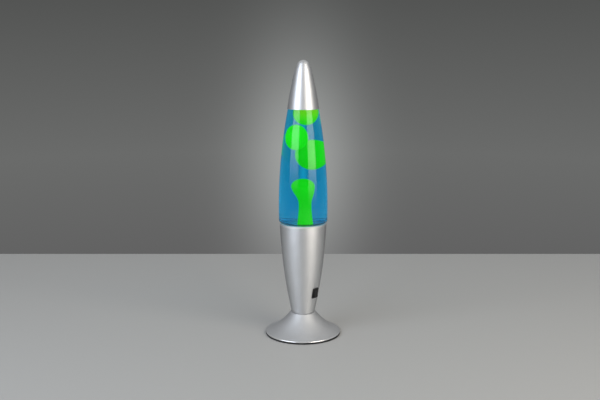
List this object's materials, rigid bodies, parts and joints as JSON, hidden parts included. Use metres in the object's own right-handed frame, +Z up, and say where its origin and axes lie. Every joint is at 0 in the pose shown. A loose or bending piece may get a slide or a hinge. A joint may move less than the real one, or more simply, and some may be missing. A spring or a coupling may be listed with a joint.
{
  "type": "liquid motion lamp",
  "caption": "Tapered motion lamp: flared metal foot, body with a rocker switch, pointed glass bottle of liquid and wax, and a lift-off pointed cap.",
  "frame": {"origin": "centre of the foot's underside", "axes": "+Z up along the lamp's axis, -Y towards the front, +X to the right"},
  "size_m": [0.1096, 0.1096, 0.396],
  "materials": {
    "foam": "closed-cell black foam",
    "spun_aluminium": "spun and satin brushed, clear lacquer",
    "zinc_steel": "zinc plated",
    "black_plastic": "black moulded nylon",
    "dark_phenolic": "dark moulded phenolic",
    "white_porcelain": "glazed porcelain",
    "brass": "stamped brass",
    "white_plastic": "white moulded nylon",
    "brown_wire": "insulated lead",
    "blue_wire": "insulated lead",
    "solder": "solder",
    "black_glass": "black glass bead",
    "nickel_brass": "nickel-plated brass",
    "clear_glass": "clear glass",
    "tungsten": "drawn wire",
    "soft_liner": "soft sealing disc",
    "tinned_steel": "tinned sheet and wire",
    "blue_liquid": "clear coloured liquid",
    "green_wax": "molten coloured wax"
  },
  "bodies": {
    "base": {"foot_pad": "foam", "foot_shell": "spun_aluminium", "bottom_plate": "zinc_steel", "plate_screws": "zinc_steel", "base_shell": "spun_aluminium", "cord_bushing": "black_plastic", "threaded_tube": "zinc_steel", "lower_washer": "zinc_steel", "lower_nut": "zinc_steel", "upper_washer": "zinc_steel", "upper_nut": "zinc_steel", "holder_dome": "dark_phenolic", "holder_core": "white_porcelain", "holder_sleeve": "dark_phenolic", "holder_screw_shell": "brass", "holder_tongue": "brass", "holder_terminals": "brass", "switch_housing": "black_plastic", "switch_contacts": "brass", "switch_bridge": "brass", "terminal_block": "white_plastic", "terminal_screws": "zinc_steel", "supply_wire": "brown_wire", "switched_wire": "brown_wire", "neutral_wire": "blue_wire"},
    "rocker": {"switch_rocker": "black_plastic"},
    "bulb": {"bulb_tip": "solder", "bulb_insulator": "black_glass", "bulb_thread": "nickel_brass", "bulb_glass": "clear_glass", "bulb_stem": "clear_glass", "bulb_filament": "tungsten"},
    "bottle": {"glass_bottle": "clear_glass", "crown_liner": "soft_liner", "crown_cap": "tinned_steel", "liquid": "blue_liquid", "bottle_coil": "tinned_steel", "wax_column": "green_wax"},
    "upper_wax": {"wax_blob_upper": "green_wax"},
    "left_wax": {"wax_blob_left": "green_wax"},
    "right_wax": {"wax_blob_right": "green_wax"},
    "cap": {"top_cap": "spun_aluminium"}
  },
  "joints": [
    {"name": "switch_rock", "type": "hinge", "parent": "base", "child": "rocker", "pos_m": [0.01717, -0.01493, 0.06402], "axis": [0.6561, 0.7547, 0], "range_deg": [0, 22]},
    {"name": "bulb_turn", "type": "hinge", "parent": "base", "child": "bulb", "pos_m": [0, 0, 0.1], "axis": [0, 0, 1], "range_deg": [0, 1800]},
    {"name": "bottle_lift", "type": "slide", "parent": "base", "child": "bottle", "axis": [0, 0, 1], "range_m": [0, 0.1]},
    {"name": "cap_lift", "type": "slide", "parent": "bottle", "child": "cap", "axis": [0, 0, 1], "range_m": [0, 0.07]},
    {"name": "upper_wax_drift", "type": "slide", "parent": "bottle", "child": "upper_wax", "axis": [0, 0, 1], "range_m": [-0.001, 0.0015], "deforming": ["liquid"]},
    {"name": "left_wax_drift", "type": "slide", "parent": "bottle", "child": "left_wax", "axis": [0, 0, 1], "range_m": [0, 0.001], "deforming": ["liquid"]},
    {"name": "right_wax_drift", "type": "slide", "parent": "bottle", "child": "right_wax", "axis": [0, 0, 1], "range_m": [-0.008, 0], "deforming": ["liquid"]}
  ]
}
